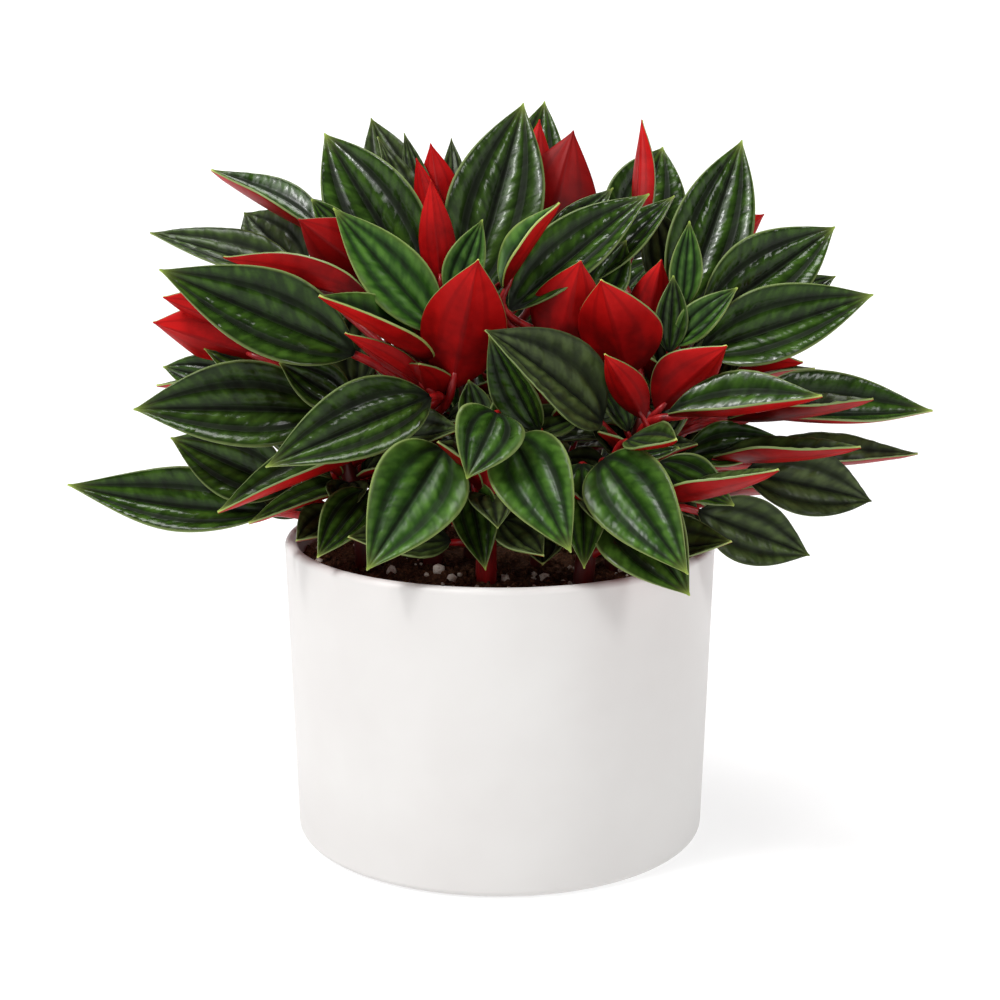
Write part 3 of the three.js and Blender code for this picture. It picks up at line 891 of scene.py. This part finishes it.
def finished_piece(name, bm, materials, node):
    mesh = bpy.data.meshes.new(name)
    bm.to_mesh(mesh)
    bm.free()
    for material in materials:
        mesh.materials.append(material)
    mesh.shade_smooth()
    piece = bpy.data.objects.new(name, mesh)
    bpy.context.scene.collection.objects.link(piece)
    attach(piece, "root")
    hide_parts(node)


def turned_form(bm, profile, steps):
    """Spins a profile of (radius, height) millimetres a full turn about +Z."""
    verts = [bm.verts.new((r * MM, 0, z * MM)) for r, z in profile]
    edges = [bm.edges.new(pair) for pair in zip(verts, verts[1:])]
    bmesh.ops.spin(
        bm,
        geom=verts + edges,
        cent=(0, 0, 0),
        axis=(0, 0, 1),
        angle=math.tau,
        steps=steps,
        use_merge=True,
    )
    bmesh.ops.remove_doubles(bm, verts=bm.verts[:], dist=MERGE_DISTANCE)
    bmesh.ops.recalc_face_normals(bm, faces=bm.faces[:])


def arc(centre_r, centre_z, radius, start, end, steps):
    """Points of a profile round a centre, from one angle to another in degrees."""
    points = []
    for k in range(steps + 1):
        angle = math.radians(start + (end - start) * k / steps)
        points.append((centre_r + radius * math.cos(angle), centre_z + radius * math.sin(angle)))
    return points


def inner_radius(z):
    """The pot's radius inside at a height, both in millimetres."""
    return FOOT_RADIUS - POT_WALL + (RIM_RADIUS - FOOT_RADIUS) * z / POT_HEIGHT


def make_pot():
    bm = bmesh.new()
    lip = POT_WALL / 2
    profile = [(0, 0)]
    profile += arc(FOOT_RADIUS - FOOT_ROUND, FOOT_ROUND, FOOT_ROUND, -90, 0, FOOT_ROUND_STEPS)
    profile += arc(RIM_RADIUS - lip, POT_HEIGHT - lip, lip, 0, 180, LIP_STEPS)
    profile += [(inner_radius(POT_FLOOR), POT_FLOOR), (0, POT_FLOOR)]
    turned_form(bm, profile, POT_STEPS)
    finished_piece("white_pot", bm, [glaze_material()], "pot")


def soil_height(x, y):
    """Height of the soil's surface in millimetres: the source's lumps, then crumbs on them."""
    lumps = math.sin(LUMP_WAVES[0] * x + LUMP_SHIFT) * math.cos(LUMP_WAVES[1] * y)
    lumps += CROSS_SHARE * math.sin(CROSS_WAVES[0] * x - CROSS_WAVES[1] * y)
    crumbs = sum(
        share * noise.noise(Vector((x, y, cut)) * scale) for cut, scale, share in CRUMB_LAYERS
    )
    return SOIL_TOP + SOIL_RELIEF * lumps + CRUMB_RELIEF * crumbs


SOIL, PERLITE = range(2)


def add_lump(bm, x, y, radius, material_index):
    """A small broken lump of the given radius in millimetres, half sunk in the soil."""
    turn = Quaternion((1, *(varying.between(-1, 1) for _ in range(3)))).normalized()
    centre = Vector((x, y, soil_height(x, y) + LUMP_LIFT * radius)) * MM
    place = Matrix.Translation(centre) @ turn.to_matrix().to_4x4()
    made = bmesh.ops.create_icosphere(bm, subdivisions=1, radius=radius * MM, matrix=place)
    for vert in made["verts"]:
        vert.co = centre + (vert.co - centre) * varying.between(*LUMP_RAGGEDNESS)
    for face in {f for vert in made["verts"] for f in vert.link_faces}:
        face.material_index = material_index


def scatter(draws, radii, ring, top_radius):
    """One place on the soil's top, in millimetres, and a radius for what lies there."""
    azimuth = draws.between(0, math.tau)
    out = top_radius * draws.between(*ring)
    return out * math.cos(azimuth), out * math.sin(azimuth), draws.between(*radii)


def make_soil():
    bm = bmesh.new()
    top_radius = inner_radius(SOIL_TOP) - SOIL_GAP
    profile = [(0, POT_FLOOR), (inner_radius(POT_FLOOR) - SOIL_GAP, POT_FLOOR)]
    for k in range(SOIL_RINGS, -1, -1):
        profile.append((top_radius * k / SOIL_RINGS, SOIL_TOP))
    turned_form(bm, profile, SOIL_STEPS)
    for vert in bm.verts:
        if vert.co.z > (SOIL_TOP - SURFACE_BAND) * MM:
            vert.co.z = soil_height(vert.co.x / MM, vert.co.y / MM) * MM
    for _ in range(BARK_COUNT):
        add_lump(bm, *scatter(varying, BARK_RADIUS, BARK_RING, top_radius), SOIL)
    for _ in range(GRAIN_COUNT):
        add_lump(bm, *scatter(placing, GRAIN_RADIUS, GRAIN_RING, top_radius), PERLITE)
        # The source draws two turns here for each grain
        placing.between(0, 1)
        placing.between(0, 1)
    for _ in range(SMALL_GRAIN_COUNT):
        place = scatter(varying, SMALL_GRAIN_RADIUS, SMALL_GRAIN_RING, top_radius)
        add_lump(bm, *place, PERLITE)
    for x, y in FRONT_GRAINS:
        add_lump(bm, x, y, varying.between(*FRONT_GRAIN_RADIUS), PERLITE)
    materials = [soil_material(), perlite_material()]
    finished_piece("potting_soil", bm, materials, "soil")


def ring_place(centre, side, up, radius):
    """The transform that brings a unit circle to a ring of a tube."""
    turn = Matrix((side, up, side.cross(up))).transposed().to_4x4()
    return Matrix.Translation(centre) @ turn @ Matrix.Scale(radius, 4)


def add_tube(bm, rings, sides, old=0):
    """A round closed tube through rings of (centre, side, up, radius), extruded ring by ring."""
    known = set(bm.verts)
    here = ring_place(*rings[0])
    first = bmesh.ops.create_circle(bm, cap_ends=True, segments=sides, radius=1, matrix=here)
    edges = list({edge for vert in first["verts"] for edge in vert.link_edges})
    faces = {face for vert in first["verts"] for face in vert.link_faces}
    for ring in rings[1:]:
        there = ring_place(*ring)
        made = bmesh.ops.extrude_edge_only(bm, edges=edges)["geom"]
        step = there @ here.inverted()
        for vert in [part for part in made if isinstance(part, bmesh.types.BMVert)]:
            vert.co = step @ vert.co
        edges = [part for part in made if isinstance(part, bmesh.types.BMEdge)]
        faces |= {part for part in made if isinstance(part, bmesh.types.BMFace)}
        here = there
    faces |= set(bmesh.ops.contextual_create(bm, geom=edges)["faces"])
    bmesh.ops.recalc_face_normals(bm, faces=list(faces))
    for face in faces:
        face.material_index = STALK
    # A stem's old value paints it dark, painted shade; a stalk keeps 0
    for vert in set(bm.verts) - known:
        vert[bm.verts.layers.float["old"]] = old


def blade_outline(u):
    """Half the blade's width along it, from 0 at the base through 1 to 0 at the pointed tip."""
    widest = WIDEN / (WIDEN + NARROW)
    at_widest = widest**WIDEN * (1 - widest) ** NARROW
    return u**WIDEN * (1 - u) ** NARROW / at_widest if 0 < u < 1 else 0.0


def away_from_ends(u):
    """Fades from 1 along the blade to 0 at its base and its tip."""
    base_fade, tip_fade = END_FADE
    return max(0, min(1, u / base_fade, (1 - u) / tip_fade))


def rib_at(v):
    """The number of the rib at this place across the blade, and 0 in a vein to 1 on its crown."""
    for number, (low, high) in enumerate(zip(VEINS, VEINS[1:])):
        if abs(v) < high:
            share = (abs(v) - low) / (high - low)
            return number, math.sin(math.pi * share) ** RIB_ROUNDNESS if share > 0 else 0.0
    return len(VEINS), 0.0


class Blade:
    """A leaf's blade, in metres: its midrib's curve, the side it faces, its fold and wave."""

    def __init__(self, base, tip, width, facing, arch=0, sideways=0, fold=BLADE_FOLD):
        turn = math.radians(sideways)
        tilt = math.radians(facing)
        ahead = math.cos(turn)
        look = Vector((math.sin(turn), -ahead * math.sin(tilt), ahead * math.cos(tilt)))
        self.base = Vector(base) * MM
        self.tip = Vector(tip) * MM
        self.length = (self.tip - self.base).length
        chord = (self.tip - self.base).normalized()
        face = (look - look.dot(chord) * chord).normalized()
        self.side = face.cross(chord)
        # A curve's middle comes half way to its bend, so the bend is twice the arch away
        self.bend = (self.base + self.tip) / 2 + face * 2 * arch * MM
        self.half = width / 2 * MM
        self.fold = fold
        self.stalk_radius = (STALK_RADIUS + STALK_WIDEN * width) * MM
        self.wave_phase = varying.between(0, math.tau)
        self.wave_size = varying.between(*WAVE_SIZE)
        self.seed = varying.between(0, 100)
        self.wrinkle_rise = WRINKLE_RISE * MM

    def midrib(self, u):
        return curve_point(self.base, self.bend, self.tip, u)

    def heading(self, u):
        return curve_heading(self.base, self.bend, self.tip, u)

    def spread(self, u):
        """Half the blade's width here, never less than the stalk's or the blunt tip's."""
        least = self.stalk_radius * BASE_WIDTH if u < 0.5 else TIP_HALF_WIDTH * MM
        return math.hypot(blade_outline(u) * self.half, least)

    def run(self, u, v):
        """How far along the blade a slanted wrinkle through this place leaves the midrib."""
        return (u * self.length - abs(v) * self.spread(u) * WRINKLE_SLANT) / MM

    def point(self, u, v, below=False):
        """The place on the blade's upper side, or on the side below, with the ribs above only."""
        at = abs(v)
        spread = self.spread(u)
        ends = away_from_ends(u)
        number, rib = rib_at(v)
        wave = math.sin(self.wave_phase + WAVE_TURNS * u + (WAVE_LAG if v > 0 else 0))
        lift = spread * at**FOLD_CURVE * math.sin(self.fold)
        lift += self.wave_size * spread * at * at * wave
        thick = BLADE_THICKNESS / 2 * MM * (1 - MARGIN_THINNING * at**3)
        if below:
            ridge = math.exp(-((at / RIDGE_WIDTH) ** 2))
            lift -= thick + ends * RIDGE_RISE * MM * ridge
        else:
            flank = (number + (len(VEINS) if v > 0 else 0)) * FLANKS_APART
            wrinkle = noise.noise(Vector((self.run(u, v) / WRINKLE_LENGTH, flank, self.seed)))
            lift += thick + ends * rib * (RIB_RISE * spread + self.wrinkle_rise * wrinkle)
            lift -= ends * (1 - rib) * VEIN_DEPTH * spread
        out = spread * v * math.cos(self.fold * at / 2)
        up = self.heading(u).cross(self.side)
        return self.midrib(u) + self.side * out + up * lift


def add_stalk(bm, stem, blade):
    """The stalk, from the stem to a little way along the blade's underside."""
    start = blade.heading(0)
    up_at_base = start.cross(blade.side)
    root = stalk_root(stem, blade.base / MM)
    end = blade.base - up_at_base * blade.stalk_radius * STALK_BELOW
    bend = end - start * STALK_CURVE * (end - root).length
    rings = []
    for k in range(STALK_STEPS + 1):
        t = k / STALK_STEPS
        centre = curve_point(root, bend, end, t)
        swing = start.rotation_difference(curve_heading(root, bend, end, t))
        radius = blade.stalk_radius * (STALK_FOOT - STALK_TAPER * t)
        rings.append((centre, swing @ blade.side, swing @ up_at_base, radius))
    for u, shrink in STALK_UNDER_BLADE:
        up = blade.heading(u).cross(blade.side)
        centre = blade.midrib(u) - up * blade.stalk_radius * STALK_BELOW * shrink
        rings.append((centre, blade.side, up, blade.stalk_radius * shrink))
    add_tube(bm, rings, STALK_SIDES)


def add_blade(bm, blade, age):
    """A grid laid along the midrib, thickened. The layers feed the leaf's materials."""
    layers = bm.verts.layers.float
    steps = LONG_GRID if blade.length > LONG_GRID_FROM * MM else SHORT_GRID
    grid = bmesh.ops.create_grid(bm, x_segments=steps[0], y_segments=steps[1], size=1)
    upper = set(grid["verts"])
    young = max(0, age)
    old = max(0, -age)
    tip_paleness, tip_power = PALE_TIP
    margin_paleness, margin_power = PALE_YOUNG_MARGIN
    edge_paleness, edge_from = PALE_EDGE
    for vert in upper:
        u = (vert.co.x + 1) / 2
        v = vert.co.y
        vert[layers["along"]] = u
        vert[layers["across"]] = v
        vert[layers["rib"]] = rib_at(v)[1] * away_from_ends(u)
        vert[layers["young"]] = young
        vert[layers["old"]] = old
        pale = max(tip_paleness * u**tip_power, margin_paleness * young * v**margin_power)
        vert[layers["pale"]] = (1 - old) * pale
        vert[layers["edge"]] = edge_paleness * (1 - old) if abs(v) > edge_from else 0
        vert[layers["run"]] = blade.run(u, v)
        vert[layers["span"]] = v * blade.spread(u) / MM * WRINKLE_STRETCH
        vert[layers["seed"]] = blade.seed
    bmesh.ops.solidify(bm, geom=bm.faces[:], thickness=BLADE_THICKNESS * MM)
    for vert in bm.verts:
        place = vert[layers["along"]], vert[layers["across"]]
        vert.co = blade.point(*place, below=vert not in upper)
    bmesh.ops.recalc_face_normals(bm, faces=bm.faces[:])
    for face in bm.faces:
        touching = sum(vert in upper for vert in face.verts)
        whole = touching == len(face.verts)
        face.material_index = UPPER if whole else MARGIN if touching else UNDER


def add_leaf(stem_bm, stem, row, age):
    """Makes one leaf with its stalk by itself, then joins it to its stem."""
    bm = bmesh.new()
    for layer in BLADE_LAYERS:
        bm.verts.layers.float.new(layer)
    blade = Blade(*row)
    blade.wrinkle_rise *= 1 + OLD_WRINKLES * max(0, -age)
    add_blade(bm, blade, age)
    add_stalk(bm, stem, blade)
    mesh = bpy.data.meshes.new("leaf")
    bm.to_mesh(mesh)
    bm.free()
    stem_bm.from_mesh(mesh)
    bpy.data.meshes.remove(mesh)


def stem_rings(stem):
    """The rings of a stem's tube, from below the soil's surface to its top."""
    right = Vector((1, 0, 0))
    foot = Vector((*stem["foot"], SOIL_TOP - STEM_SUNK)) * MM
    rings = [(foot, right, UP.cross(right), STEM_FOOT_RADIUS * MM)]
    curve = stem_curve(stem)
    for k in range(STEM_STEPS + 1):
        t = k / STEM_STEPS
        heading = curve_heading(*curve, t)
        across = UP.rotation_difference(heading) @ right
        radius = STEM_FOOT_RADIUS + (STEM_TOP_RADIUS - STEM_FOOT_RADIUS) * t
        rings.append((curve_point(*curve, t), across, heading.cross(across), radius * MM))
    return rings


def make_leafy_stem(name, far_side):
    """One piece: a stem with its own leaves, those of the far side, the inner and heart ones."""
    bm = bmesh.new()
    for layer in BLADE_LAYERS:
        bm.verts.layers.float.new(layer)
    stem = STEMS[name]
    add_tube(bm, stem_rings(stem), STEM_SIDES, STEM_PAINTED_SHADES.get(name, STEM_PAINTED_SHADE))
    ages = LEAF_AGES.get(name, {})
    for number, row in enumerate(stem["leaves"]):
        add_leaf(bm, stem, row, ages.get(number, varying.between(*USUAL_AGE)))
    for row in far_side:
        add_leaf(bm, stem, row, varying.between(*USUAL_AGE))
    for row in filling_leaves(name):
        add_leaf(bm, stem, row, varying.between(*INNER_AGE))
    for row in heart_leaves(name) + BACKING_LEAVES.get(name, []):
        add_leaf(bm, stem, row, HEART_AGE)
    finished_piece(
        f"foliage_{name}", bm, foliage_materials, f"leafy_stem_{name}"
    )


# The studio: a white sweep all round, a wide soft light from the front left with a small
# bright one in its middle for crisp glints, one from above and behind, and a weak one from the
# front right


def make_sweep():
    bm = bmesh.new()
    profile = [(0, -FLOOR_DROP), (SWEEP_RADIUS - SWEEP_CURVE, -FLOOR_DROP)]
    profile += arc(
        SWEEP_RADIUS - SWEEP_CURVE,
        SWEEP_CURVE - FLOOR_DROP,
        SWEEP_CURVE,
        -90,
        SWEEP_END,
        SWEEP_ARC_STEPS,
    )
    turned_form(bm, profile, SWEEP_STEPS)
    mesh = bpy.data.meshes.new("studio sweep")
    bm.to_mesh(mesh)
    bm.free()
    mesh.materials.append(sweep_material())
    mesh.shade_smooth()
    sweep = bpy.data.objects.new("studio_sweep", mesh)
    bpy.context.scene.collection.objects.link(sweep)


def add_soft_light(name, azimuth, elevation, spread, strength):
    data = bpy.data.lights.new(name, "SUN")
    data.angle = math.radians(spread)
    data.energy = strength
    turn = math.radians(azimuth)
    rise = math.radians(elevation)
    towards = Vector(
        (math.cos(turn) * math.cos(rise), math.sin(turn) * math.cos(rise), math.sin(rise))
    )
    light = bpy.data.objects.new(name, data)
    light.rotation_euler = towards.to_track_quat("Z", "Y").to_euler()
    bpy.context.scene.collection.objects.link(light)


def light_studio():
    for name, settings in LIGHTS.items():
        add_soft_light(name, *settings)
    world = bpy.data.worlds.new("studio")
    world.use_nodes = True
    background = world.node_tree.nodes["Background"]
    background.inputs["Color"].default_value = linear("#ffffff")
    background.inputs["Strength"].default_value = WORLD_STRENGTH
    bpy.context.scene.world = world
    bpy.context.scene.view_settings.view_transform = "Standard"


def make_camera():
    data = bpy.data.cameras.new("camera")
    data.sensor_width = SENSOR_WIDTH
    data.lens = CAMERA_LENS * SENSOR_WIDTH
    camera = bpy.data.objects.new("camera", data)
    elevation = math.radians(CAMERA_ELEVATION)
    back = Vector((0, -math.cos(elevation), math.sin(elevation)))
    camera.location = Vector(CAMERA_TARGET) * MM + back * CAMERA_DISTANCE * MM
    camera.rotation_euler = (math.pi / 2 - elevation, 0, 0)
    bpy.context.scene.collection.objects.link(camera)
    bpy.context.scene.camera = camera


make_camera()
light_studio()
make_sweep()
make_pot()
far_side_rows = far_side_leaves()
for stem_name in STEMS:
    make_leafy_stem(stem_name, far_side_rows.get(stem_name, []))
make_soil()
